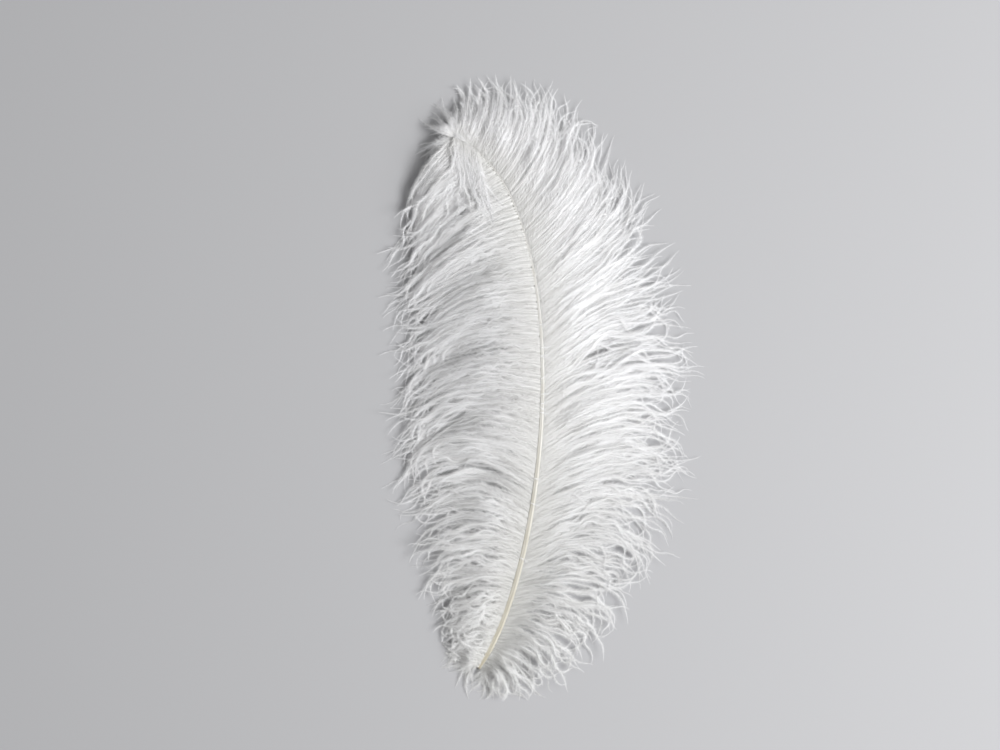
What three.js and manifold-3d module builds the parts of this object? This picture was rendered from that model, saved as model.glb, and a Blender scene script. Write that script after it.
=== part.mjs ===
// An ostrich wing plume lying on a surface, convex side up: one grown piece.
// A tapered shaft carries soft locks of barbs on both sides, which arch out and come down to the surface.
// Millimetres, +Z up, +Y towards the tip of the plume, the surface at Z = 0.
import * as THREE from 'three';
import { mergeVertices } from 'three/addons/utils/BufferGeometryUtils.js';
import Module from 'manifold-3d';

// Shaft: the four control points of its curve seen from above, from the quill to the curled tip
const SHAFT_PLAN = [[-56, -248], [9.6, -155.4], [37.5, 179.6], [-78.5, 228.2]];
const QUILL_WIDTH = 5.4;
const SHAFT_TIP_WIDTH = 1.5;
const SHAFT_TAPER = 1.25;
const SHAFT_STEPS = 44;
const SHAFT_SIDES = 8;
const QUILL_END_SHRINK = 0.55;

// Height of the shaft's axis: the quill lies on the surface, the barbs hold up the middle, the tip droops
const QUILL_HEIGHT = 2.2;
const CREST_RISE = 30;
const CREST_AT = 0.62;
const TIP_DROOP = 15;
const DROOP_FROM = 0.72;

// Barbs: at a share of the shaft, the angles from the shaft at which they leave and end, and their length
const RIGHT_VANE = [
  { at: 0.0, leave: 78, end: 140, length: 42 },
  { at: 0.1, leave: 62, end: 124, length: 112 },
  { at: 0.22, leave: 48, end: 106, length: 148 },
  { at: 0.36, leave: 42, end: 106, length: 154 },
  { at: 0.5, leave: 46, end: 98, length: 152 },
  { at: 0.64, leave: 53, end: 64, length: 148 },
  { at: 0.76, leave: 63, end: 31, length: 135 },
  { at: 0.86, leave: 70, end: 24, length: 112 },
  { at: 0.94, leave: 80, end: 34, length: 82 },
  { at: 1.0, leave: 95, end: 52, length: 48 },
];
const LEFT_VANE = [
  { at: 0.0, leave: 88, end: 150, length: 30 },
  { at: 0.1, leave: 86, end: 156, length: 70 },
  { at: 0.22, leave: 66, end: 151, length: 114 },
  { at: 0.35, leave: 57, end: 143, length: 150 },
  { at: 0.5, leave: 73, end: 136, length: 154 },
  { at: 0.65, leave: 79, end: 133, length: 152 },
  { at: 0.78, leave: 85, end: 126, length: 150 },
  { at: 0.88, leave: 88, end: 116, length: 146 },
  { at: 0.95, leave: 80, end: 107, length: 128 },
  { at: 1.0, leave: 62, end: 102, length: 98 },
];
const BARB_ARCH = 6;
const BARB_LANDS_AT = 0.93;
const BARB_STEPS = 24;

// Locks: the clumps of barbs, and the stations along a lock where it has a section
const LOCKS_PER_SIDE = 32;
const FIRST_LOCK_AT = 0.015;
const LAST_LOCK_AT = 0.985;
const LOCK_FILL = 0.93;
const LOCK_THICKNESS = 2.6;
const LOCK_ROOT_SHARE = 0.6;
const LOCK_TIP_SHARE = 0.3;
const LOCK_SHOULDER = 0.45;
const LOCK_NARROWS = 2.4;
const LOCK_POINT = 0.8;
const LOCK_SHINGLE = 0.16;
const LOCK_STATIONS = [0, 0.1, 0.26, 0.44, 0.6, 0.75, 0.87, 0.95];
const LENGTH_SPREAD = 0.05;
const TURN_SPREAD = 5;
const TURN_SEED = 500;
const SCATTER = { pace: 127.1, start: 11.7, size: 43758.5453 };

// The lock that ends the plume, in line with the shaft and curling down to the left
const TIP_LOCK = { leave: 4, end: 78, length: 34, halfWidth: 4.5 };
const TIP_LOCK_ROOT = 0.33;
const NEAR_AHEAD = 0.05;

// Half of the plume's box in plan lies on each side of this point, which becomes the origin
const BOX_CENTRE = { x: -0.67, y: 3.59 };
const SURFACE_BLOCK = { side: 900, depth: 40 };

const RIGHT = 1;
const LEFT = -1;
const VANES = { [RIGHT]: RIGHT_VANE, [LEFT]: LEFT_VANE };
const UP = new THREE.Vector3(0, 0, 1);
const LENS_CORNERS = [
  [1, 0], [LOCK_SHOULDER, 1], [-LOCK_SHOULDER, 1], [-1, 0], [-LOCK_SHOULDER, -1], [LOCK_SHOULDER, -1],
];

const shaftCurve = new THREE.CubicBezierCurve3(...SHAFT_PLAN.map(([x, y]) => new THREE.Vector3(x, y, 0)));

function shaftHeight(v) {
  const rise = CREST_RISE * THREE.MathUtils.smoothstep(v, 0, CREST_AT);
  const droop = TIP_DROOP * THREE.MathUtils.smoothstep(v, DROOP_FROM, 1);
  return QUILL_HEIGHT + rise - droop;
}

function shaftWidth(v) {
  return THREE.MathUtils.lerp(QUILL_WIDTH, SHAFT_TIP_WIDTH, v ** SHAFT_TAPER);
}

// A point on the shaft's axis with the directions along the shaft and to its right, both level
function shaftFrame(v) {
  const along = shaftCurve.getTangentAt(v);
  const point = shaftCurve.getPointAt(v).setZ(shaftHeight(v));
  return { point, along, right: along.clone().cross(UP) };
}

// A value of the vane between its keys, by a smooth curve through them
function vaneValue(keys, name, v) {
  const last = keys.length - 1;
  let i = 0;
  while (i < last - 1 && v > keys[i + 1].at) i += 1;
  const slope = (k) => {
    const a = keys[Math.max(k - 1, 0)];
    const b = keys[Math.min(k + 1, last)];
    return (b[name] - a[name]) / (b.at - a.at);
  };
  const span = keys[i + 1].at - keys[i].at;
  const t = (v - keys[i].at) / span;
  const keep = 2 * t ** 3 - 3 * t ** 2 + 1;
  const bend = span * ((t ** 3 - 2 * t ** 2 + t) * slope(i) + (t ** 3 - t ** 2) * slope(i + 1));
  return keep * keys[i][name] + (1 - keep) * keys[i + 1][name] + bend;
}

// The line of one barb as points from the shaft's axis to its tip, arching up and coming down to the surface
function barbLine(frame, side, { leave, end, length }) {
  const out = frame.right.clone().multiplyScalar(side);
  const point = frame.point.clone();
  const height = point.z;
  const line = [point.clone()];
  for (let step = 1; step <= BARB_STEPS; step += 1) {
    const middle = (step - 0.5) / BARB_STEPS;
    const angle = THREE.MathUtils.degToRad(leave + (end - leave) * middle);
    point.addScaledVector(frame.along, (Math.cos(angle) * length) / BARB_STEPS);
    point.addScaledVector(out, (Math.sin(angle) * length) / BARB_STEPS);
    const share = Math.min(step / BARB_STEPS / BARB_LANDS_AT, 1);
    point.z = height * (1 - THREE.MathUtils.smoothstep(share, 0, 1)) + BARB_ARCH * Math.sin(Math.PI * share);
    line.push(point.clone());
  }
  return line;
}

function vaneBarb(side, v, lengthFactor, turn) {
  const keys = VANES[side];
  return barbLine(shaftFrame(v), side, {
    leave: vaneValue(keys, 'leave', v),
    end: vaneValue(keys, 'end', v) + turn,
    length: vaneValue(keys, 'length', v) * lengthFactor,
  });
}

function pointOn(line, share) {
  const place = share * BARB_STEPS;
  const i = Math.min(Math.floor(place), BARB_STEPS - 1);
  return line[i].clone().lerp(line[i + 1], place - i);
}

// A repeatable number from -1 to 1 for each whole number
function scatter(n) {
  const wave = Math.sin(n * SCATTER.pace + SCATTER.start) * SCATTER.size;
  return 2 * (wave - Math.floor(wave)) - 1;
}

// A closed skin over rings of equal size, ended by a flat cap at the first ring and by a point or a flat cap
function loft(rings, apex) {
  const size = rings[0].length;
  const points = rings.flat();
  const triangles = [];
  for (let r = 0; r + 1 < rings.length; r += 1) {
    for (let k = 0; k < size; k += 1) {
      const a = r * size + k;
      const b = r * size + ((k + 1) % size);
      triangles.push(a, b, b + size, a, b + size, a + size);
    }
  }
  for (let k = 1; k + 1 < size; k += 1) triangles.push(0, k + 1, k);
  const lastRing = (rings.length - 1) * size;
  if (apex) {
    points.push(apex);
    for (let k = 0; k < size; k += 1) {
      triangles.push(lastRing + k, lastRing + ((k + 1) % size), points.length - 1);
    }
  } else {
    for (let k = 1; k + 1 < size; k += 1) triangles.push(lastRing, lastRing + k, lastRing + k + 1);
  }
  const geometry = new THREE.BufferGeometry().setFromPoints(points);
  return geometry.setIndex(triangles);
}

// The shaft: a rounded square section that narrows to the tip, with the quill's end drawn in
function shaftGeometry() {
  const rings = [];
  for (let step = 0; step <= SHAFT_STEPS; step += 1) {
    const v = step / SHAFT_STEPS;
    const { point, right } = shaftFrame(v);
    const half = (shaftWidth(v) / 2) * (step === 0 ? QUILL_END_SHRINK : 1);
    const ring = [];
    for (let k = 0; k < SHAFT_SIDES; k += 1) {
      const turn = ((k + 0.5) / SHAFT_SIDES) * 2 * Math.PI;
      const aside = point.clone().addScaledVector(right, half * Math.cos(turn));
      ring.push(aside.addScaledVector(UP, half * Math.sin(turn)));
    }
    rings.push(ring);
  }
  return loft(rings.map((ring) => ring.toReversed()), null);
}

// A lock with a six-sided lens section: `middle` is its line, and `halfWidth(share)` is the vector from it
// to its tipward edge
function lockGeometry(side, middle, rootThickness, halfWidth) {
  const rings = LOCK_STATIONS.map((share) => {
    const centre = pointOn(middle, share);
    const across = halfWidth(share);
    const swell = THREE.MathUtils.smoothstep(share, 0, LOCK_STATIONS[2]);
    const full = LOCK_THICKNESS * THREE.MathUtils.lerp(1, LOCK_TIP_SHARE, share);
    const half = THREE.MathUtils.lerp(rootThickness, full, swell) / 2;
    across.z += LOCK_SHINGLE * across.length() * swell;
    const ring = LENS_CORNERS.map(([aside, up]) =>
      centre.clone().addScaledVector(across, aside).addScaledVector(UP, up * half));
    return side === RIGHT ? ring : ring.toReversed();
  });
  return loft(rings, pointOn(middle, 1));
}

// How wide a lock is along its length, as a share of its room: full at the shaft, narrowing to a pointed tip
function lockTaper(share) {
  return LOCK_FILL * (1 - share ** LOCK_NARROWS) ** LOCK_POINT;
}

function vaneLock(side, index) {
  const pitch = (LAST_LOCK_AT - FIRST_LOCK_AT) / (LOCKS_PER_SIDE - 1);
  const v = FIRST_LOCK_AT + pitch * index;
  const seed = 2 * index + (side === RIGHT ? 0 : 1);
  const lengthFactor = 1 + LENGTH_SPREAD * scatter(seed);
  const turn = TURN_SPREAD * scatter(seed + TURN_SEED);
  const middle = vaneBarb(side, v, lengthFactor, turn);
  const quillward = vaneBarb(side, Math.max(v - pitch / 2, 0), lengthFactor, turn);
  const tipward = vaneBarb(side, Math.min(v + pitch / 2, 1), lengthFactor, turn);
  const rootThickness = LOCK_ROOT_SHARE * Math.min(shaftWidth(v), LOCK_THICKNESS);
  return lockGeometry(side, middle, rootThickness, (share) =>
    pointOn(tipward, share).sub(pointOn(quillward, share)).multiplyScalar(lockTaper(share) / 2));
}

function tipLock() {
  const frame = shaftFrame(1);
  const middle = barbLine(frame, LEFT, TIP_LOCK);
  const rootThickness = LOCK_ROOT_SHARE * SHAFT_TIP_WIDTH;
  const rootReach = TIP_LOCK_ROOT * SHAFT_TIP_WIDTH;
  return lockGeometry(LEFT, middle, rootThickness, (share) => {
    const next = pointOn(middle, Math.min(share + NEAR_AHEAD, 1));
    const ahead = next.sub(pointOn(middle, share)).setZ(0).normalize();
    const root = THREE.MathUtils.smoothstep(share, 0, LOCK_STATIONS[2]);
    const reach = THREE.MathUtils.lerp(rootReach, TIP_LOCK.halfWidth * lockTaper(share), root);
    return ahead.cross(UP).multiplyScalar(reach);
  });
}

// The block under the surface, which trims what lies on it flat
function surfaceBlock() {
  const block = new THREE.BoxGeometry(SURFACE_BLOCK.side, SURFACE_BLOCK.side, SURFACE_BLOCK.depth);
  block.translate(0, 0, -SURFACE_BLOCK.depth / 2);
  block.deleteAttribute('normal');
  block.deleteAttribute('uv');
  return mergeVertices(block);
}

const wasm = await Module();
wasm.setup();

function toSolid(geometry) {
  const vertProperties = new Float32Array(geometry.attributes.position.array);
  const triVerts = new Uint32Array(geometry.index.array);
  return new wasm.Manifold(new wasm.Mesh({ numProp: 3, vertProperties, triVerts }));
}

function toGeometry(solid) {
  const mesh = solid.getMesh();
  const geometry = new THREE.BufferGeometry();
  geometry.setAttribute('position', new THREE.BufferAttribute(mesh.vertProperties, 3));
  return geometry.setIndex(new THREE.BufferAttribute(mesh.triVerts, 1));
}

function featherGeometry() {
  let solid = toSolid(shaftGeometry()).add(toSolid(tipLock()));
  for (const side of [RIGHT, LEFT]) {
    for (let index = 0; index < LOCKS_PER_SIDE; index += 1) {
      solid = solid.add(toSolid(vaneLock(side, index)));
    }
  }
  const resting = solid.subtract(toSolid(surfaceBlock()));
  return toGeometry(resting).translate(-BOX_CENTRE.x, -BOX_CENTRE.y, 0);
}

const featherMaterial = new THREE.MeshStandardMaterial({ color: 0xf2efe8, roughness: 0.85, metalness: 0 });
const feather = new THREE.Mesh(featherGeometry(), featherMaterial);
feather.name = 'feather';

const plume = new THREE.Group();
plume.add(feather);

export default plume;
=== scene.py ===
import bpy
import numpy as np
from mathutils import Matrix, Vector


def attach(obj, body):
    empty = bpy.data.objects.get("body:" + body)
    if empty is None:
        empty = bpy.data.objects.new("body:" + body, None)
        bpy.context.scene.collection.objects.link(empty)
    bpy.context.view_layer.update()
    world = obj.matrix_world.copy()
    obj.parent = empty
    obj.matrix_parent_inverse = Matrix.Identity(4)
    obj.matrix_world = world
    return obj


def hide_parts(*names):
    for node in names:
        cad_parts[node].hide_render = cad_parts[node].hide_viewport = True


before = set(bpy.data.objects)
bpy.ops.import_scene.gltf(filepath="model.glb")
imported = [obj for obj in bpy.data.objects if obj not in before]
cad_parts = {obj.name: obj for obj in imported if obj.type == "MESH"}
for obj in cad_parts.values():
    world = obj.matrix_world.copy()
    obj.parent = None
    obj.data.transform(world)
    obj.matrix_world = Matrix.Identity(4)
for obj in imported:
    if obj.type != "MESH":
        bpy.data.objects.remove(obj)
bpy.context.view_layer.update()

MM = 0.001
SEED = 41

# The photograph: its size, its scale, and the pixel that lies over the plan's zero point
PHOTO_SIZE = (1000, 750)
PHOTO_MM_PER_PIXEL = 0.9
PHOTO_ZERO_PIXEL = (541, 392)

# The shaft and its barbs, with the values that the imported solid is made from
SHAFT_PLAN = np.array([[-56, -248], [9.6, -155.4], [37.5, 179.6], [-78.5, 228.2]])
BOX_CENTRE = np.array([-0.67, 3.59])
QUILL_WIDTH = 5.4
SHAFT_TIP_WIDTH = 1.5
SHAFT_TAPER = 1.25
QUILL_HEIGHT = 2.2
CREST_RISE = 30
CREST_AT = 0.62
TIP_DROOP = 15
DROOP_FROM = 0.72
BARB_ARCH = 6
BARB_LANDS_AT = 0.93

# Each row: share of the shaft, angle from the shaft where a barb leaves and ends, its length
AT, LEAVE, END, LENGTH = range(4)
RIGHT, LEFT = 1, -1
SIDE_NAMES = {RIGHT: "right", LEFT: "left"}
VANES = {
    RIGHT: np.array([
        [0.00, 78, 140, 42],
        [0.10, 62, 124, 112],
        [0.22, 48, 106, 148],
        [0.36, 42, 106, 154],
        [0.50, 46, 98, 152],
        [0.64, 53, 64, 148],
        [0.76, 63, 31, 135],
        [0.86, 70, 24, 112],
        [0.94, 80, 34, 82],
        [1.00, 95, 52, 48],
    ]),
    LEFT: np.array([
        [0.00, 88, 150, 30],
        [0.10, 86, 156, 70],
        [0.22, 66, 151, 114],
        [0.35, 57, 143, 150],
        [0.50, 73, 136, 154],
        [0.65, 79, 133, 152],
        [0.78, 85, 126, 150],
        [0.88, 88, 116, 146],
        [0.95, 80, 107, 128],
        [1.00, 62, 102, 98],
    ]),
}
VANE_PARTS = ("low", "middle", "high")

# Barbs: two layers, one smooth and even, one over it gathered into strands and locks
# A barb's line has steps that grow a little shorter towards its tip
BARB_LAYERS = (
    {"barbs": 215, "pull": 0.2, "split": 0.3, "lift": 0.0, "wave": 1.0, "curl": 0.8},
    {"barbs": 205, "pull": 0.65, "split": 1.5, "lift": 1.5, "wave": 1.5, "curl": 1.1},
)
BARB_STEPS = 34
BARB_STEPS_SHORTEN = 1.1
BARB_STATIONS = 1 - (1 - np.linspace(0, 1, BARB_STEPS + 1)) ** BARB_STEPS_SHORTEN
LOOSE_STEPS = 16
LOOSE_STATIONS = np.linspace(0, 1, LOOSE_STEPS + 1)
BARB_ROOT_RADIUS = 0.24
BARB_TIP_RADIUS = 0.05
BARB_ROLL = 12
FLOOR_GAP = 0.35

# How barbs gather: shares of the shaft, and how far a barb moves to the middle of its group
ROOT_SCATTER = 0.45
STRAND_PITCH = 0.0125
LOCK_PITCH = 0.042
PITCH_SPREAD = (0.55, 1.45)
STRAND_PULL = (0.2, 1.0)
STRAND_CLOSES = (0.05, 0.5)
STRAND_OPENS = (0.7, 1.0)
STRAND_OPENING = 0.45
LOCK_PULL = (0.1, 0.5)
LOCK_CLOSES = (0.3, 0.9)

# The plume is calmer towards the tip of the shaft, most of all on the right, and wilder beside the quill
CALM_SPAN = (0.35, 0.65)
CALMED = {RIGHT: 0.6, LEFT: 0.3}
WILD_SPAN = (0.05, 0.34)
WILDNESS = 1.2

# Places where a vane parts: share of the shaft, middle and half length along the barbs, half width in shares
SPLITS = {
    RIGHT: ((0.507, 0.44, 0.24, 0.013), (0.29, 0.62, 0.2, 0.006), (0.15, 0.42, 0.25, 0.006)),
    LEFT: ((0.44, 0.6, 0.2, 0.008), (0.33, 0.42, 0.2, 0.007), (0.72, 0.55, 0.2, 0.005)),
}
SPLIT_FADES = 2.5

# Soft hollows: share of the shaft and of the barbs at the middle, half sizes in the same shares, depth
HOLLOWS = {
    RIGHT: ((0.525, 0.5, 0.03, 0.17, 11), (0.86, 0.3, 0.06, 0.2, 3), (0.24, 0.5, 0.02, 0.2, 5)),
    LEFT: ((0.418, 0.64, 0.022, 0.16, 7), (0.315, 0.38, 0.018, 0.22, 6), (0.6, 0.6, 0.03, 0.2, 3)),
}

# Soft swells of a vane: waves along the shaft, waves along the barbs, phase
SWELLS = ((7.3, 0.9, 0.0), (11.9, -0.7, 0.3))
SWELL_HEIGHT = 1.5
SWELL_RISES = (0.12, 0.4)
SWELL_FALLS = (0.75, 1.0)

# How much of its line a barb reaches: the usual share, and what its lock, its place and chance change
REACH = {"usual": 0.985, "lock": 0.03, "lock_edge": 0.04, "barb": 0.02, "short": 0.26, "short_power": 2.5}
REACH_RANGE = (0.55, 1.04)

# Sideways waves of the barbs: degrees of turn, and wave length; ripples lie close to the shaft
LOCK_WAVE = {"turn": 5, "length": 120, "phase": 0.04}
STRAND_WAVES = ({"turn": 6, "length": 62}, {"turn": 6, "length": 26})
BARB_WAVE = {"turn": 6, "length": (13, 36)}
FRINGE_STRAND_WAVE = {"turn": 13, "length": 34}
FRINGE_BARB_WAVE = {"turn": 10, "length": (22, 44)}
FRINGE_SPAN = (0.55, 0.9)
RIPPLE = {"turn": {RIGHT: 3, LEFT: 11}, "length": 15, "rises": (0.02, 0.1), "falls": (0.3, 0.6)}
WAVE_GROWS = ((0.55, (0.0, 0.14)), (0.45, (0.1, 0.7)))

# How the ends of the barbs turn, in degrees: a sweep of the outer half, and a hook at the tip
# The usual sweep, by share of the shaft, turns them away from its tip, or back up where it is negative
TIP_TURN = {
    RIGHT: ((0.0, 12), (0.5, 12), (0.62, -12)),
    LEFT: ((0.0, 16),),
}
SWEEP = 8
SWEEP_SPAN = (0.45, 0.95)
HOOK = {"lock": 24, "strand": 30, "barb": 24, "stray": 60, "stray_share": 0.25}
HOOK_SPAN = (0.68, 1.0)

# Heights over the vane's form: the feet as shares of the shaft's width, then lifts
FOOT_HEIGHT = 0.26
FOOT_RISE = 0.16
FOOT_RISE_SPAN = (0.5, 0.85)
LIFT = {"lock": 2.0, "strand": 0.9, "barb": 0.7, "wave": 0.9, "wave_length": 45, "tip": 3}
LIFT_SPAN = (0.05, 0.4)
TIP_LIFT_SPAN = (0.7, 1.0)

# Barbules: the fine side fibres of a barb
BARBULES_PER_MM = 3.35
BARBULE_LENGTH = 5.0
BARBULE_LENGTHS = (0.6, 1.3)
BARBULE_WIDTH = 0.28
BARBULE_ROOT_SIZE = 0.85
BARBULE_GROWS = (0.0, 0.3)
BARBULE_SHORTENS = ((0.4, (0.5, 0.85)), (0.5, (0.8, 1.0)))
BARBULE_THINNED = 0.55
BARBULE_THINS = (0.5, 1.0)
BARBULE_ANGLE = (28, 56)
BARBULE_DROOP = (-18, 48)
BARBULE_FEWEST = 4


def smooth(low, high, x):
    t = np.clip((x - low) / (high - low), 0, 1)
    return t * t * (3 - 2 * t)


def unit(vectors):
    return vectors / np.linalg.norm(vectors, axis=-1, keepdims=True)


# The shaft's curve by share of its length
def bezier(t):
    a, b, c, d = SHAFT_PLAN - BOX_CENTRE
    t = np.asarray(t)[..., None]
    return (1 - t) ** 3 * a + 3 * (1 - t) ** 2 * t * b + 3 * (1 - t) * t**2 * c + t**3 * d


CURVE_SAMPLES = 2001
CURVE_T = np.linspace(0, 1, CURVE_SAMPLES)
CURVE_STEPS = np.linalg.norm(np.diff(bezier(CURVE_T), axis=0), axis=1)
SHAFT_LENGTH = CURVE_STEPS.sum()
CURVE_V = np.concatenate([[0], np.cumsum(CURVE_STEPS)]) / SHAFT_LENGTH


def shaft_plan(v):
    """Points on the shaft seen from above, and the unit directions along it."""
    t = np.interp(v, CURVE_V, CURVE_T)
    nudge = 1e-4
    return bezier(t), unit(bezier(t + nudge) - bezier(t - nudge))


def shaft_height(v):
    rise = CREST_RISE * smooth(0, CREST_AT, v)
    return QUILL_HEIGHT + rise - TIP_DROOP * smooth(DROOP_FROM, 1, v)


def shaft_width(v):
    return QUILL_WIDTH + (SHAFT_TIP_WIDTH - QUILL_WIDTH) * v**SHAFT_TAPER


def right_of(along):
    return np.stack([along[..., 1], -along[..., 0]], axis=-1)


def keyed(keys, column, v):
    """A vane's value at v, on a smooth curve through its keys."""
    at, value = keys[:, AT], keys[:, column]
    before = np.maximum(np.arange(len(at)) - 1, 0)
    after = np.minimum(np.arange(len(at)) + 1, len(at) - 1)
    slope = (value[after] - value[before]) / (at[after] - at[before])
    i = np.clip(np.searchsorted(at, v) - 1, 0, len(at) - 2)
    span = at[i + 1] - at[i]
    t = (v - at[i]) / span
    keep = 2 * t**3 - 3 * t**2 + 1
    bend = span * ((t**3 - 2 * t**2 + t) * slope[i] + (t**3 - t**2) * slope[i + 1])
    return keep * value[i] + (1 - keep) * value[i + 1] + bend


def barb_plan(side, v, w):
    """Points seen from above at the share w of the barbs that leave the shaft at v."""
    root, along = shaft_plan(v)
    out = side * right_of(along)
    leave = np.radians(keyed(VANES[side], LEAVE, v))
    bend = np.radians(keyed(VANES[side], END, v)) - leave
    least = 1e-3
    bend = np.where(np.abs(bend) < least, least, bend)
    length = keyed(VANES[side], LENGTH, v)
    ahead = (np.sin(leave + bend * w) - np.sin(leave)) / bend * length
    aside = (np.cos(leave) - np.cos(leave + bend * w)) / bend * length
    return root + ahead[..., None] * along + aside[..., None] * out


def barb_height(v, w):
    share = np.clip(w / BARB_LANDS_AT, 0, 1)
    return shaft_height(v) * (1 - smooth(0, 1, share)) + BARB_ARCH * np.sin(np.pi * share)


def swell(side, v, w):
    """The soft rise and fall of a vane as a whole, with its hollows."""
    drop = sum(
        depth * np.exp(-(((v - at) / half_v) ** 2) - ((w - middle) / half_w) ** 2)
        for at, middle, half_v, half_w, depth in HOLLOWS[side]
    )
    waves = sum(np.sin(2 * np.pi * (by_v * v + by_w * w + phase)) for by_v, by_w, phase in SWELLS)
    return SWELL_HEIGHT * waves * smooth(*SWELL_RISES, w) * (1 - smooth(*SWELL_FALLS, w)) - drop


def above_floor(plan, height):
    """Plan points and heights as points of space, none of them in the floor."""
    return np.concatenate([plan, np.maximum(height, FLOOR_GAP)[..., None]], axis=-1)


# Barb lines
def gather(v, pitch, rng):
    """Group neighbouring barbs: each barb's group number, its group's middle, and its place in it."""
    cuts = np.cumsum(rng.uniform(*PITCH_SPREAD, int(2 / pitch)) * pitch)
    group = np.unique(np.searchsorted(cuts, v), return_inverse=True)[1]
    middle = (np.bincount(group, v) / np.bincount(group))[group]
    place = (v - middle) / (pitch / 2)
    return group, middle[:, None], place[:, None]


class Barbs:
    """The barbs of one layer of a vane, the strands and locks they form, and chance values for them."""

    def __init__(self, side, count, rng):
        self.count, self.rng = count, rng
        v = (np.arange(count) + 0.5 + rng.uniform(-ROOT_SCATTER, ROOT_SCATTER, count)) / count
        self.strand, self.strand_middle, _ = gather(v, STRAND_PITCH, rng)
        self.lock, self.lock_middle, self.lock_place = gather(v, LOCK_PITCH, rng)
        self.v = v[:, None]
        self.calm = 1 - CALMED[side] * smooth(*CALM_SPAN, self.v)
        self.wild = 1 + WILDNESS * (1 - smooth(*WILD_SPAN, self.v))

    def even(self, low=0, high=1):
        return self.rng.uniform(low, high, (self.count, 1))

    def bell(self):
        return self.rng.normal(size=(self.count, 1))

    def by_group(self, group, draw):
        return draw(size=group.max() + 1)[group][:, None]

    def strand_bell(self):
        return self.by_group(self.strand, self.rng.normal)

    def strand_even(self):
        return self.by_group(self.strand, self.rng.uniform)

    def lock_bell(self):
        return self.by_group(self.lock, self.rng.normal)


def wave(travelled, length, phase):
    return np.sin(2 * np.pi * (travelled / length + phase))


def gathered(side, layer, barbs, w):
    """Each barb's share of the shaft as it goes out: drawn into its strand and lock, parted at splits."""
    pull = barbs.calm * layer["pull"]
    closed = smooth(*STRAND_CLOSES, w) - STRAND_OPENING * smooth(*STRAND_OPENS, w)
    v = barbs.v + (barbs.strand_middle - barbs.v) * pull * barbs.even(*STRAND_PULL) * closed
    v = v + (barbs.lock_middle - v) * pull * barbs.even(*LOCK_PULL) * smooth(*LOCK_CLOSES, w)
    for at, middle, half, gap in SPLITS[side]:
        off = v - at
        opening = layer["split"] * gap * (1 - smooth(0, half, np.abs(w - middle)))
        v = v + np.sign(off) * opening * np.exp(-((off / (SPLIT_FADES * gap)) ** 2))
    return v


def reached(barbs):
    """The share of its line that each barb reaches."""
    at_edge = np.minimum(barbs.lock_place**2, 1)
    reach = REACH["usual"] + REACH["lock"] * barbs.lock_bell() - REACH["lock_edge"] * at_edge
    reach = reach + REACH["barb"] * barbs.bell() - REACH["short"] * barbs.even() ** REACH["short_power"]
    return np.clip(reach, *REACH_RANGE)


def strand_wave(barbs, gone, turn, length):
    return turn * barbs.strand_bell() * wave(gone, length, barbs.strand_even())


def barb_wave(barbs, gone, turn, length):
    return turn * barbs.bell() * wave(gone, barbs.even(*length), barbs.even())


def waviness(side, layer, barbs, w, gone):
    """The turn in degrees of each stretch of the barbs, from waves of locks, of strands and of their own."""
    phase = LOCK_WAVE["phase"]
    turn = LOCK_WAVE["turn"] * barbs.lock_bell() * wave(gone, LOCK_WAVE["length"], barbs.even(-phase, phase))
    for each in STRAND_WAVES:
        turn = turn + strand_wave(barbs, gone, **each)
    turn = turn + barb_wave(barbs, gone, **BARB_WAVE)
    fringe = strand_wave(barbs, gone, **FRINGE_STRAND_WAVE)
    fringe = fringe + barb_wave(barbs, gone, **FRINGE_BARB_WAVE)
    ripple = strand_wave(barbs, gone, RIPPLE["turn"][side], RIPPLE["length"])
    ripple = ripple * smooth(*RIPPLE["rises"], w) * (1 - smooth(*RIPPLE["falls"], w))
    grows = sum(share * smooth(*span, w) for share, span in WAVE_GROWS)
    turn = layer["wave"] * (barbs.calm * barbs.wild * turn * grows + ripple)
    return turn + fringe * smooth(*FRINGE_SPAN, w)


def tip_curl(side, layer, barbs, w):
    """The turn in degrees of each stretch of the barbs towards their tips."""
    sweep = np.interp(barbs.v, *zip(*TIP_TURN[side]))
    sweep = sweep + SWEEP * (barbs.lock_bell() + barbs.strand_bell() + barbs.bell())
    hook = HOOK["lock"] * barbs.lock_bell() + HOOK["strand"] * barbs.strand_bell()
    hook = hook + HOOK["barb"] * barbs.bell()
    hook = hook + HOOK["stray"] * barbs.bell() * (barbs.even() < HOOK["stray_share"])
    hook = layer["curl"] * barbs.wild * hook
    return sweep * smooth(*SWEEP_SPAN, w) + hook * smooth(*HOOK_SPAN, w)


def bent(plan, turn):
    """Lines with the same steps as plan, each turned by its own angle."""
    step = np.diff(plan, axis=1)
    angle = np.arctan2(step[..., 1], step[..., 0]) + turn
    moved = np.linalg.norm(step, axis=-1)[..., None] * np.stack([np.cos(angle), np.sin(angle)], axis=-1)
    return np.concatenate([plan[:, :1], plan[:, :1] + np.cumsum(moved, axis=1)], axis=1)


def lifted(side, layer, barbs, v, w, reach, gone):
    """The height of the barbs over the floor."""
    foot = FOOT_HEIGHT + FOOT_RISE * smooth(*FOOT_RISE_SPAN, barbs.v)
    height = barb_height(barbs.v, w * reach) + foot * shaft_width(barbs.v)
    lift = LIFT["lock"] * barbs.lock_bell() + LIFT["strand"] * barbs.strand_bell()
    lift = layer["lift"] + barbs.calm * lift + LIFT["barb"] * barbs.bell()
    lift = lift + LIFT["wave"] * barbs.bell() * wave(gone, LIFT["wave_length"], barbs.even())
    height = height + lift * smooth(*LIFT_SPAN, w) + swell(side, v, w)
    return height + LIFT["tip"] * np.abs(barbs.bell()) * smooth(*TIP_LIFT_SPAN, w)


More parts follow.
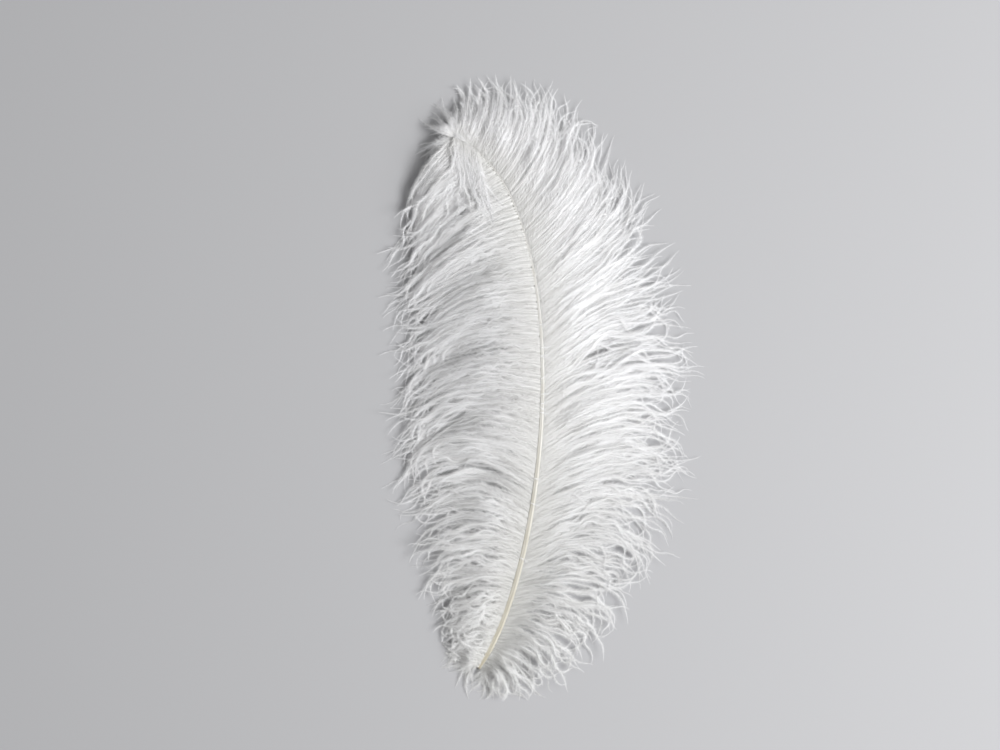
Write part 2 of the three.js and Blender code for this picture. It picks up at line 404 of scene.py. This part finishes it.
def vane_lines(side, layer, rng):
    """The middle lines of one layer of a vane's barbs, and where each leaves the shaft."""
    barbs = Barbs(side, layer["barbs"], rng)
    w = BARB_STATIONS[None, :]
    v = gathered(side, layer, barbs, w)
    reach = reached(barbs)
    length = keyed(VANES[side], LENGTH, barbs.v) * reach
    between = (w[:, 1:] + w[:, :-1]) / 2
    turn = waviness(side, layer, barbs, between, between * length)
    turn = turn + tip_curl(side, layer, barbs, between)
    plan = bent(barb_plan(side, v, w * reach), -side * np.radians(turn))
    height = lifted(side, layer, barbs, v, w, reach, w * length)
    return above_floor(plan, height), barbs.v[:, 0]


# Loose barbs: shares of the shaft and of the barbs, headings and turns in degrees, lengths and heights
# A pair is the lowest and highest value, or the middle and spread of a turn
BASE_DOWN = {
    "count": 150, "on_right": 0.55, "foot": 0.45, "foot_drop": 0.4, "roots": (0.0, 0.055),
    "heading": (70, 168), "turn": (-20, 75), "length": (16, 42), "rise": (0, 4),
}
WISPS = {
    "count": 40, "roots": (0.05, 0.97), "crossing": 0.035, "bending": 0.02, "wave": 0.004,
    "wave_length": (0.3, 0.8), "within": (0.01, 0.995), "start": (0.05, 0.55), "length": (0.25, 0.45),
    "rise": (1.0, 2.6), "rise_power": 0.7, "root_size": 0.1, "fluff": 0.6,
}
TIP_FAN = {
    "count": 44, "roots": (0.965, 1.0), "heading": (-75, 70), "turn": (30, 25), "length": (26, 44),
    "rise": (0, 3),
}
HANGING_TUFT = {
    "count": 30, "roots": (0.95, 1.0), "heading": (266, 290), "turn": (4, 16), "length": (30, 90),
    "rise": (1, 6), "clear": 1.5, "rise_kept": 0.15,
}
STRAYS = {
    "count": 12, "roots": (0.2, 0.66), "foot": 0.55, "top": 0.6, "heading": (62, 112), "turn": (0, 25),
    "length": (7, 12), "rise": (0, 0.6), "root_size": 0.6, "fluff": 0.4,
}
SURFACE_GRID = (160, 40)
CURL_WAVE = {"turn": 14, "length": 24}
TURN_POWER = 1.4
FALL_SPAN = (0.3, 1.1)
ARC_POWER = 0.8


def free_lines(root, heading, turn, length, rise, rng):
    """Loose curly barbs: each starts at its root with a heading and turns as it goes."""
    count = len(root)
    w = LOOSE_STATIONS[None, :]
    between = (w[:, 1:] + w[:, :-1]) / 2
    angle = heading[:, None] + turn[:, None] * between**TURN_POWER
    size, phase = rng.normal(size=(count, 1)), rng.uniform(size=(count, 1))
    angle = angle + CURL_WAVE["turn"] * size * wave(between * length[:, None], CURL_WAVE["length"], phase)
    angle = np.radians(angle)
    step = (length[:, None] * np.diff(w))[..., None] * np.stack([np.cos(angle), np.sin(angle)], axis=-1)
    plan = np.concatenate([np.zeros((count, 1, 2)), np.cumsum(step, axis=1)], axis=1) + root[:, None, :2]
    height = root[:, 2:] * (1 - smooth(*FALL_SPAN, w)) + rise[:, None] * np.sin(np.pi * w**ARC_POWER)
    return above_floor(plan, height)


def shaft_roots(v):
    """Points on the shaft's axis, and the heading of the shaft there in degrees."""
    plan, along = shaft_plan(v)
    heading = np.degrees(np.arctan2(along[:, 1], along[:, 0]))
    return np.concatenate([plan, shaft_height(v)[:, None]], axis=1), heading


def square_to(heading, side):
    """Unit steps of the plan square to a heading in degrees, to its right or its left."""
    toward = np.radians(heading - 90 * side)
    return np.stack([np.cos(toward), np.sin(toward)], axis=1)


def base_down_lines(rng):
    """Short curly down round the quill."""
    down, count = BASE_DOWN, BASE_DOWN["count"]
    root, along = shaft_roots(rng.uniform(*down["roots"], count))
    side = np.where(rng.uniform(size=count) < down["on_right"], RIGHT, LEFT)
    outward = np.concatenate([square_to(along, side), np.full((count, 1), -down["foot_drop"])], axis=1)
    root = root + down["foot"] * QUILL_WIDTH * outward
    heading = along - side * rng.uniform(*down["heading"], count)
    turn = side * rng.normal(*down["turn"], count)
    length, rise = rng.uniform(*down["length"], count), rng.uniform(*down["rise"], count)
    return free_lines(root, heading, turn, length, rise, rng)


def wisp_lines(side, rng):
    """Loose barbs that lie across the others of a vane."""
    one_each = (WISPS["count"], 1)
    s = LOOSE_STATIONS[None, :]

    def even(name):
        return rng.uniform(*WISPS[name], one_each)

    drift = WISPS["crossing"] * rng.normal(size=one_each) + WISPS["bending"] * rng.normal(size=one_each) * s
    waves = wave(s, even("wave_length"), rng.uniform(size=one_each))
    v = np.clip(even("roots") + drift * s + WISPS["wave"] * waves, *WISPS["within"])
    w = even("start") + even("length") * s
    rise = even("rise") * np.sin(np.pi * s) ** WISPS["rise_power"]
    return above_floor(barb_plan(side, v, w), barb_height(v, w) + swell(side, v, w) + rise)


def stray_lines(rng):
    """A few short barbs that cross over the shaft from left to right."""
    stray, count = STRAYS, STRAYS["count"]
    v = rng.uniform(*stray["roots"], count)
    root, along = shaft_roots(v)
    width = shaft_width(v)[:, None]
    root[:, :2] += stray["foot"] * width * square_to(along, LEFT)
    root[:, 2:] += stray["top"] * width
    heading, turn = along - rng.uniform(*stray["heading"], count), rng.normal(*stray["turn"], count)
    length, rise = rng.uniform(*stray["length"], count), rng.uniform(*stray["rise"], count)
    lines = free_lines(root, heading, turn, length, rise, rng)
    lines[..., 2] = np.maximum(lines[..., 2], root[:, 2:])
    return lines


def vane_surface(side, plan):
    """The height of a vane under points of the plan, from its nearest barb."""
    v, w = np.meshgrid(*(np.linspace(0, 1, points) for points in SURFACE_GRID), indexing="ij")
    barbs = barb_plan(side, v, w).reshape(-1, 2)
    height = barb_height(v, w).ravel()
    nearest = [np.argmin(((barbs - point) ** 2).sum(axis=1)) for point in plan.reshape(-1, 2)]
    return height[nearest].reshape(plan.shape[:-1])


def tip_fan_lines(rng):
    """The barbs that fan out past the shaft's tip."""
    fan, count = TIP_FAN, TIP_FAN["count"]
    root, along = shaft_roots(rng.uniform(*fan["roots"], count))
    heading, turn = along + rng.uniform(*fan["heading"], count), rng.normal(*fan["turn"], count)
    length, rise = rng.uniform(*fan["length"], count), rng.uniform(*fan["rise"], count)
    return free_lines(root, heading, turn, length, rise, rng)


def hanging_tuft_lines(rng):
    """The bright tuft that hangs from the curl of the tip over the left vane."""
    tuft, count = HANGING_TUFT, HANGING_TUFT["count"]
    root, _ = shaft_roots(rng.uniform(*tuft["roots"], count))
    heading, turn = rng.uniform(*tuft["heading"], count), rng.normal(*tuft["turn"], count)
    length, rise = rng.uniform(*tuft["length"], count), rng.uniform(*tuft["rise"], count)
    lines = free_lines(root, heading, turn, length, rise, rng)
    over = vane_surface(LEFT, lines[..., :2]) + tuft["clear"] + lines[..., 2] * tuft["rise_kept"]
    lines[..., 2] = np.maximum(lines[..., 2], over)
    return lines


# Barb meshes: each shape is its points, its triangles and the points' places on the bake map
# On the map each barb has a row of its own, and the rows here are places across it
CORE_CORNERS = np.radians([90, 210, 330])
CORE_ROWS = (0.1, 0.5, 0.9)
CORE_TIP_ROW = 0.5
BARBULE_ROWS = {RIGHT: (0.45, 0.55, 0.9), LEFT: (0.45, 0.55, 0.1)}


def line_axes(lines, roll):
    """Unit directions along each line, across it and out of its flat side."""
    along = unit(np.gradient(lines, axis=1))
    across = unit(np.cross(along, [0.0, 0.0, 1.0]))
    normal = np.cross(across, along)
    cos, sin = np.cos(roll)[..., None], np.sin(roll)[..., None]
    return along, cos * across + sin * normal, cos * normal - sin * across


def barb_cores(lines, axes):
    """Closed three-sided tubes along the lines, with pointed tips."""
    count, rings, sides = lines.shape[0], lines.shape[1] - 1, len(CORE_CORNERS)
    _, across, normal = axes
    share = np.arange(rings) / rings
    radius = (BARB_ROOT_RADIUS + (BARB_TIP_RADIUS - BARB_ROOT_RADIUS) * share)[None, :, None, None]
    turn = CORE_CORNERS[None, None, :, None]
    ring = lines[:, :-1, None] + radius * (
        np.cos(turn) * across[:, :-1, None] + np.sin(turn) * normal[:, :-1, None]
    )
    points = np.concatenate([ring.reshape(count, -1, 3), lines[:, -1:]], axis=1)
    k = np.arange(sides)
    here = sides * np.arange(rings - 1)[:, None] + k
    beside = sides * np.arange(rings - 1)[:, None] + (k + 1) % sides
    walls = np.concatenate([
        np.stack([here, beside, beside + sides], axis=-1).reshape(-1, 3),
        np.stack([here, beside + sides, here + sides], axis=-1).reshape(-1, 3),
    ])
    last = sides * (rings - 1)
    tip = np.stack([last + k, last + (k + 1) % sides, np.full(sides, sides * rings)], axis=-1)
    foot = [[0, 2, 1]]
    one = np.concatenate([walls, tip, foot])
    size = points.shape[1]
    triangles = (one[None] + size * np.arange(count)[:, None, None]).reshape(-1, 3)
    u = np.concatenate([np.repeat(share, sides), [1.0]])
    row = np.concatenate([np.tile(CORE_ROWS, rings), [CORE_TIP_ROW]])
    uv = np.stack(np.broadcast_arrays(u[None], (np.arange(count)[:, None] + row) / count), axis=-1)
    return points.reshape(-1, 3), triangles, uv.reshape(-1, 2)


def barbule_size(share, root_size):
    """How long the barbules are along a barb, as shares of the longest."""
    grown = root_size + (1 - root_size) * smooth(*BARBULE_GROWS, share)
    return grown * (1 - sum(loss * smooth(*span, share) for loss, span in BARBULE_SHORTENS))


def barbules(lines, axes, root_size, fluff, rng):
    """Slender pointed fibres along both sides of each line."""
    along, across, normal = axes
    count, steps = lines.shape[0], lines.shape[1] - 1
    length = np.linalg.norm(np.diff(lines, axis=1), axis=-1).sum(axis=1)
    made = np.maximum((length * BARBULES_PER_MM).astype(int), BARBULE_FEWEST)
    barb = np.repeat(np.arange(count), made)
    order = np.arange(made.sum()) - np.repeat(np.cumsum(made) - made, made)
    total = len(barb)
    points, uv = [], []
    for side in (RIGHT, LEFT):
        share = (order + rng.uniform(0, 1, total)) / made[barb]
        i = np.minimum((share * steps).astype(int), steps - 1)
        part = (share * steps - i)[:, None]
        base = lines[barb, i] * (1 - part) + lines[barb, i + 1] * part
        ahead = along[barb, i]
        angle = np.radians(rng.uniform(*BARBULE_ANGLE, total))[:, None]
        droop = np.radians(rng.uniform(*BARBULE_DROOP, total))[:, None]
        outward = side * np.cos(droop) * across[barb, i] - np.sin(droop) * normal[barb, i]
        size = BARBULE_LENGTH * fluff * barbule_size(share, root_size)
        size = (size * rng.uniform(*BARBULE_LENGTHS, total))[:, None]
        tip = base + size * (np.cos(angle) * ahead + np.sin(angle) * outward)
        tip[:, 2] = np.maximum(tip[:, 2], FLOOR_GAP / 2)
        half = BARBULE_WIDTH / 2 * (1 - BARBULE_THINNED * smooth(*BARBULE_THINS, share))[:, None] * ahead
        points.append(np.stack([base - half, base + half, tip], axis=1).reshape(-1, 3))
        row = (barb[:, None] + np.array(BARBULE_ROWS[side])) / count
        uv.append(np.stack([np.repeat(share[:, None], 3, axis=1), row], axis=-1).reshape(-1, 2))
    points = np.concatenate(points)
    return points, np.arange(len(points)).reshape(-1, 3), np.concatenate(uv)


def joined(*shapes):
    """Several shapes as one."""
    offset, points, triangles, uv = 0, [], [], []
    for shape_points, shape_triangles, shape_uv in shapes:
        points.append(shape_points)
        triangles.append(shape_triangles + offset)
        uv.append(shape_uv)
        offset += len(shape_points)
    return np.concatenate(points), np.concatenate(triangles), np.concatenate(uv)


# Root webs: from where to where along the shaft, how far out and under the barbs their rows lie,
# and the waves that make their outer edge ragged, by length in shares of the shaft and by phase
WEB_STEPS = 240
WEB_SPAN = (0.01, 0.995)
WEB_REACHES = np.array([0.0, 0.05, 0.1, 0.15, 0.2])
WEB_DROPS = np.array([0.2, 0.8, 2.0, 4.0, 7.0])
WEB_RAGGEDNESS = 0.35
WEB_WAVES = ((0.016, 0.0), (0.059, 0.3))


def root_web_shape(side):
    """The close-set feet of the barbs beside the shaft, as a thin ribbon under them."""
    v, w = np.meshgrid(np.linspace(*WEB_SPAN, WEB_STEPS + 1), WEB_REACHES, indexing="ij")
    rag = np.prod([wave(v, length, phase) for length, phase in WEB_WAVES], axis=0)
    w = w * (1 + WEB_RAGGEDNESS * rag)
    points = above_floor(barb_plan(side, v, w), barb_height(v, w) + swell(side, v, w) - WEB_DROPS)
    size = len(WEB_REACHES)
    here = size * np.arange(WEB_STEPS)[:, None] + np.arange(size - 1)
    triangles = np.concatenate([
        np.stack([here, here + 1, here + size + 1], axis=-1).reshape(-1, 3),
        np.stack([here, here + size + 1, here + size], axis=-1).reshape(-1, 3),
    ])
    if side == LEFT:
        triangles = triangles[:, ::-1]
    return points.reshape(-1, 3), triangles, np.stack([w, v], axis=-1).reshape(-1, 2)


# Shaft mesh: the groove and the sizes of the quill's end are shares of the half width, the span is
# a share of the shaft, and the gap and the places of the quill's end are millimetres
SHAFT_STEPS = 220
SHAFT_SIDES = 24
SHAFT_SQUARENESS = 3
SHAFT_FLOOR_GAP = 0.02
GROOVE = {"depth": 0.14, "left_of_middle": 0.25, "half_width": 0.3}
QUILL_SLIMMED = 0.8
QUILL_SLIM_SPAN = (0, 0.04)
QUILL_END_SIZES = np.array([0.3, 0.42, 0.86])
QUILL_END_PLACES = np.array([3.0, 0.2, -0.35])


def shaft_section():
    """A rounded square with a groove on top: how far its corners reach to the right and up."""
    turn = 2 * np.pi * (np.arange(SHAFT_SIDES) + 0.5) / SHAFT_SIDES
    power = SHAFT_SQUARENESS
    size = (np.abs(np.cos(turn)) ** power + np.abs(np.sin(turn)) ** power) ** (-1 / power)
    aside, up = size * np.cos(turn), size * np.sin(turn)
    groove = GROOVE["depth"] * np.exp(-(((aside + GROOVE["left_of_middle"]) / GROOVE["half_width"]) ** 2))
    return aside, np.where(up > 0, up - groove, up)


def shaft_shape():
    """The shaft, with a blunt quill end that is hollow for a little way."""
    end_rings = len(QUILL_END_SIZES)
    v = np.concatenate([np.zeros(end_rings), np.linspace(0, 1, SHAFT_STEPS + 1)])
    size = np.concatenate([QUILL_END_SIZES, np.ones(SHAFT_STEPS + 1)])
    size = size * (QUILL_SLIMMED + (1 - QUILL_SLIMMED) * smooth(*QUILL_SLIM_SPAN, v))
    plan, along = shaft_plan(v)
    plan[:end_rings] += QUILL_END_PLACES[:, None] * along[0]
    right = np.concatenate([right_of(along), np.zeros((len(v), 1))], axis=1)
    centre = np.concatenate([plan, shaft_height(v)[:, None]], axis=1)
    aside, up = shaft_section()
    half = (size * shaft_width(v) / 2)[:, None]
    points = centre[:, None] + (half * aside)[..., None] * right[:, None]
    points[..., 2] += half * up
    points[..., 2] = np.maximum(points[..., 2], SHAFT_FLOOR_GAP)
    points = np.concatenate([points.reshape(-1, 3), np.stack([centre[0], centre[-1]])])
    sides, rings = SHAFT_SIDES, len(v) - 1
    k = np.arange(sides)
    here = sides * np.arange(rings)[:, None] + k
    beside = sides * np.arange(rings)[:, None] + (k + 1) % sides
    last = sides * rings
    triangles = np.concatenate([
        np.stack([here, beside + sides, beside], axis=-1).reshape(-1, 3),
        np.stack([here, here + sides, beside + sides], axis=-1).reshape(-1, 3),
        np.stack([k, (k + 1) % sides, np.full(sides, last + sides)], axis=-1),
        np.stack([last + (k + 1) % sides, last + k, np.full(sides, last + sides + 1)], axis=-1),
    ])
    u = np.concatenate([np.repeat(np.linspace(0, 1, len(v)), sides), [0.0, 1.0]])
    row = np.concatenate([np.tile((k + 0.5) / sides, len(v)), [0.5, 0.5]])
    return points, triangles, np.stack([u, row], axis=-1)


# Materials
BAKE_MAP = "OFBake"
WHITE = (1.0, 1.0, 1.0)
BARB_FINISH = {"Roughness": 0.6, "Specular IOR Level": 0.35, "Sheen Weight": 0.2, "Sheen Roughness": 0.4}
BARB_COLOURS = ((0.0, (0.87, 0.865, 0.85)), (0.3, (0.945, 0.945, 0.95)), (1.0, (0.955, 0.955, 0.965)))
BARB_STREAKS = ((0.3, (0.86, 0.855, 0.845)), (0.6, WHITE))
BARB_STREAK_SCALE = (5, 83)
BARB_STREAK_DETAIL = 2
# Painted shade: a grey that darkens the barbs towards the quill, set by the model's Y in metres between the
# two limits below
QUILL_PAINTED_SHADE = ((0.0, (0.85, 0.85, 0.835)), (1.0, WHITE))
QUILL_PAINTED_SHADE_FROM, QUILL_PAINTED_SHADE_TO = -0.27, 0.02
SHAFT_FINISH = {"Roughness": 0.46}
SHAFT_COLOURS = (
    (0.0, (0.50, 0.45, 0.34)),
    (0.06, (0.57, 0.54, 0.45)),
    (0.3, (0.63, 0.61, 0.55)),
    (0.55, (0.69, 0.685, 0.66)),
    (1.0, (0.66, 0.655, 0.645)),
)
SHAFT_STREAKS = ((0.3, (0.82, 0.80, 0.75)), (0.65, WHITE))
SHAFT_STREAK_SCALE = (30, 9)
SHAFT_STREAK_DETAIL = 4
SHAFT_BUMP = {"Strength": 0.12, "Distance": 0.0004}
FLOOR_FINISH = {"Roughness": 0.8, "Base Color": (0.44, 0.44, 0.45, 1)}


def set_sockets(node, values):
    for socket, value in values.items():
        node.inputs[socket].default_value = value


def new_material(name, finish):
    """A material, its node tree and its shader."""
    material = bpy.data.materials.new(name)
    material.use_nodes = True
    shader = material.node_tree.nodes["Principled BSDF"]
    set_sockets(shader, finish)
    return material, material.node_tree, shader


def bake_place(tree, along=1, across=1):
    """The piece's own map, stretched: along the barb or shaft, and across it."""
    place = tree.nodes.new("ShaderNodeUVMap")
    place.uv_map = BAKE_MAP
    stretch = tree.nodes.new("ShaderNodeMapping")
    stretch.inputs["Scale"].default_value = (along, across, 1)
    tree.links.new(place.outputs["UV"], stretch.inputs["Vector"])
    return stretch.outputs["Vector"]


def axis_value(tree, vector, axis):
    """One coordinate of a vector."""
    split = tree.nodes.new("ShaderNodeSeparateXYZ")
    tree.links.new(vector, split.inputs["Vector"])
    return split.outputs[axis]


def ramp(tree, value, stops):
    """Colours that change with a value."""
    node = tree.nodes.new("ShaderNodeValToRGB")
    elements = node.color_ramp.elements
    while len(elements) < len(stops):
        elements.new(0.5)
    for element, (position, colour) in zip(elements, stops):
        element.position = position
        element.color = (*colour, 1)
    tree.links.new(value, node.inputs["Fac"])
    return node.outputs["Color"]


def noise(tree, place, detail):
    node = tree.nodes.new("ShaderNodeTexNoise")
    set_sockets(node, {"Scale": 1, "Detail": detail})
    tree.links.new(place, node.inputs["Vector"])
    return node.outputs["Fac"]


def multiplied(tree, first, second):
    """The product of two colours."""
    mix = tree.nodes.new("ShaderNodeMix")
    mix.data_type = "RGBA"
    mix.blend_type = "MULTIPLY"
    mix.inputs["Factor"].default_value = 1
    tree.links.new(first, mix.inputs["A"])
    tree.links.new(second, mix.inputs["B"])
    return mix.outputs["Result"]


def painted_shade_towards_quill(tree):
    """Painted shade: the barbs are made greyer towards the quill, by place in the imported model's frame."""
    place = tree.nodes.new("ShaderNodeTexCoord")
    share = tree.nodes.new("ShaderNodeMapRange")
    set_sockets(share, {"From Min": QUILL_PAINTED_SHADE_FROM, "From Max": QUILL_PAINTED_SHADE_TO})
    tree.links.new(axis_value(tree, place.outputs["Object"], "Y"), share.inputs["Value"])
    return ramp(tree, share.outputs["Result"], QUILL_PAINTED_SHADE)


def barb_material():
    """Soft white barbs, a little creamier at the root, streaked from barb to barb, and greyed towards the
    quill by painted shade.
    """
    material, tree, shader = new_material("plume_barbs", BARB_FINISH)
    lengthwise = ramp(tree, axis_value(tree, bake_place(tree), "X"), BARB_COLOURS)
    pattern = noise(tree, bake_place(tree, *BARB_STREAK_SCALE), BARB_STREAK_DETAIL)
    streaked = multiplied(tree, lengthwise, ramp(tree, pattern, BARB_STREAKS))
    # painted shade towards the quill darkens the colour
    colour = multiplied(tree, streaked, painted_shade_towards_quill(tree))
    tree.links.new(colour, shader.inputs["Base Color"])
    return material


def shaft_material():
    """Ivory keratin, browner at the quill, with fine lengthwise streaks that stand out a little."""
    material, tree, shader = new_material("plume_shaft", SHAFT_FINISH)
    lengthwise = ramp(tree, axis_value(tree, bake_place(tree), "X"), SHAFT_COLOURS)
    pattern = noise(tree, bake_place(tree, *SHAFT_STREAK_SCALE), SHAFT_STREAK_DETAIL)
    colour = multiplied(tree, lengthwise, ramp(tree, pattern, SHAFT_STREAKS))
    tree.links.new(colour, shader.inputs["Base Color"])
    bump = tree.nodes.new("ShaderNodeBump")
    set_sockets(bump, SHAFT_BUMP)
    tree.links.new(pattern, bump.inputs["Height"])
    tree.links.new(bump.outputs["Normal"], shader.inputs["Normal"])
    return material


def floor_material():
    material, _, _ = new_material("pale_floor", FLOOR_FINISH)
    return material


# Pieces
def add_piece(name, shape, material, smooth_count):
    """A mesh piece that stands for the feather's solid, with its first triangles smooth."""
    points, triangles, uv = shape
    mesh = bpy.data.meshes.new(name)
    mesh.vertices.add(len(points))
    mesh.vertices.foreach_set("co", (points * MM).astype(np.float32).ravel())
    mesh.loops.add(triangles.size)
    mesh.loops.foreach_set("vertex_index", triangles.astype(np.int32).ravel())
    mesh.polygons.add(len(triangles))
    mesh.polygons.foreach_set("loop_start", np.arange(0, triangles.size, 3, dtype=np.int32))
    mesh.polygons.foreach_set("use_smooth", np.arange(len(triangles)) < smooth_count)
    layer = mesh.uv_layers.new(name=BAKE_MAP)
    layer.data.foreach_set("uv", uv[triangles.ravel()].astype(np.float32).ravel())
    mesh.materials.append(material)
    mesh.update(calc_edges=True)
    piece = bpy.data.objects.new(name, mesh)
    bpy.context.scene.collection.objects.link(piece)
    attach(piece, "root")
    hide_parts("feather")


def add_barbs(name, lines, material, rng, root_size=BARBULE_ROOT_SIZE, fluff=1.0):
    """A piece of barbs along lines: smooth cores with flat barbules."""
    roll = np.radians(BARB_ROLL * rng.normal(size=(len(lines), 1))) * np.ones(lines.shape[1])
    axes = line_axes(lines, roll)
    cores = barb_cores(lines, axes)
    shape = joined(cores, barbules(lines, axes, root_size, fluff, rng))
    add_piece(name, shape, material, len(cores[1]))


def add_vane(side, material, rng):
    """One side's barbs, both layers, in pieces from the quill to the tip."""
    layers = [vane_lines(side, layer, rng) for layer in BARB_LAYERS]
    order = np.argsort(np.concatenate([v for _, v in layers]))
    lines = np.concatenate([lines for lines, _ in layers])[order]
    for part, chosen in zip(VANE_PARTS, np.array_split(lines, len(VANE_PARTS))):
        add_barbs(f"vane_{SIDE_NAMES[side]}_{part}", chosen, material, rng)


def add_plume():
    rng = np.random.default_rng(SEED)
    white = barb_material()
    shaft = shaft_shape()
    add_piece("shaft", shaft, shaft_material(), len(shaft[1]))
    for side in (RIGHT, LEFT):
        add_vane(side, white, rng)
    for side in (RIGHT, LEFT):
        wisps = wisp_lines(side, rng)
        add_barbs(f"wisps_{SIDE_NAMES[side]}", wisps, white, rng, WISPS["root_size"], WISPS["fluff"])
        web = root_web_shape(side)
        add_piece(f"root_web_{SIDE_NAMES[side]}", web, white, len(web[1]))
    add_barbs("shaft_strays", stray_lines(rng), white, rng, STRAYS["root_size"], STRAYS["fluff"])
    add_barbs("base_down", base_down_lines(rng), white, rng)
    add_barbs("tip_tuft", np.concatenate([tip_fan_lines(rng), hanging_tuft_lines(rng)]), white, rng)


# Stage: floor, lights and camera, in metres and watts
FLOOR_SIZE = 6.0
WORLD_STRENGTH = 0.35
LIGHT_TARGET = (0, 0.03, 0)
LIGHTS = {
    "key": {"place": (1.8, -0.25, 2.3), "size": 1.2, "watts": 86, "colour": (0.99, 0.993, 1)},
    "fill": {"place": (2.2, -0.8, 1.7), "size": 1.4, "watts": 18, "colour": (0.985, 0.99, 1)},
}
CAMERA_HEIGHT = 2.4
SENSOR_WIDTH = 36.0


def photo_point(px, py):
    """The point of the plan, in metres, under a pixel of the photograph."""
    x = (px - PHOTO_ZERO_PIXEL[0]) * PHOTO_MM_PER_PIXEL - BOX_CENTRE[0]
    y = (PHOTO_ZERO_PIXEL[1] - py) * PHOTO_MM_PER_PIXEL - BOX_CENTRE[1]
    return x * MM, y * MM


def add_floor():
    half = FLOOR_SIZE / 2
    corners = [(-half, -half, 0), (half, -half, 0), (half, half, 0), (-half, half, 0)]
    mesh = bpy.data.meshes.new("floor")
    mesh.from_pydata(corners, [], [(0, 1, 2, 3)])
    mesh.materials.append(floor_material())
    floor = bpy.data.objects.new("floor", mesh)
    bpy.context.scene.collection.objects.link(floor)


def add_light(name, place, size, watts, colour):
    data = bpy.data.lights.new(name, "AREA")
    data.size = size
    data.energy = watts
    data.color = colour
    light = bpy.data.objects.new(name, data)
    light.location = place
    light.rotation_euler = (Vector(LIGHT_TARGET) - Vector(place)).to_track_quat("-Z", "Y").to_euler()
    bpy.context.scene.collection.objects.link(light)


def add_camera():
    """Straight above, with the photograph's frame and scale on the floor."""
    data = bpy.data.cameras.new("camera")
    data.sensor_width = SENSOR_WIDTH
    data.lens = SENSOR_WIDTH * CAMERA_HEIGHT / (PHOTO_SIZE[0] * PHOTO_MM_PER_PIXEL * MM)
    camera = bpy.data.objects.new("camera", data)
    x, y = photo_point(PHOTO_SIZE[0] / 2, PHOTO_SIZE[1] / 2)
    camera.location = (x, y, CAMERA_HEIGHT)
    bpy.context.scene.collection.objects.link(camera)
    bpy.context.scene.camera = camera


def add_world():
    world = bpy.data.worlds.new("studio")
    world.use_nodes = True
    set_sockets(world.node_tree.nodes["Background"], {"Color": (*WHITE, 1), "Strength": WORLD_STRENGTH})
    bpy.context.scene.world = world


bpy.context.scene.view_settings.view_transform = "Standard"
add_camera()
add_floor()
add_world()
for name, light in LIGHTS.items():
    add_light(name, **light)
add_plume()
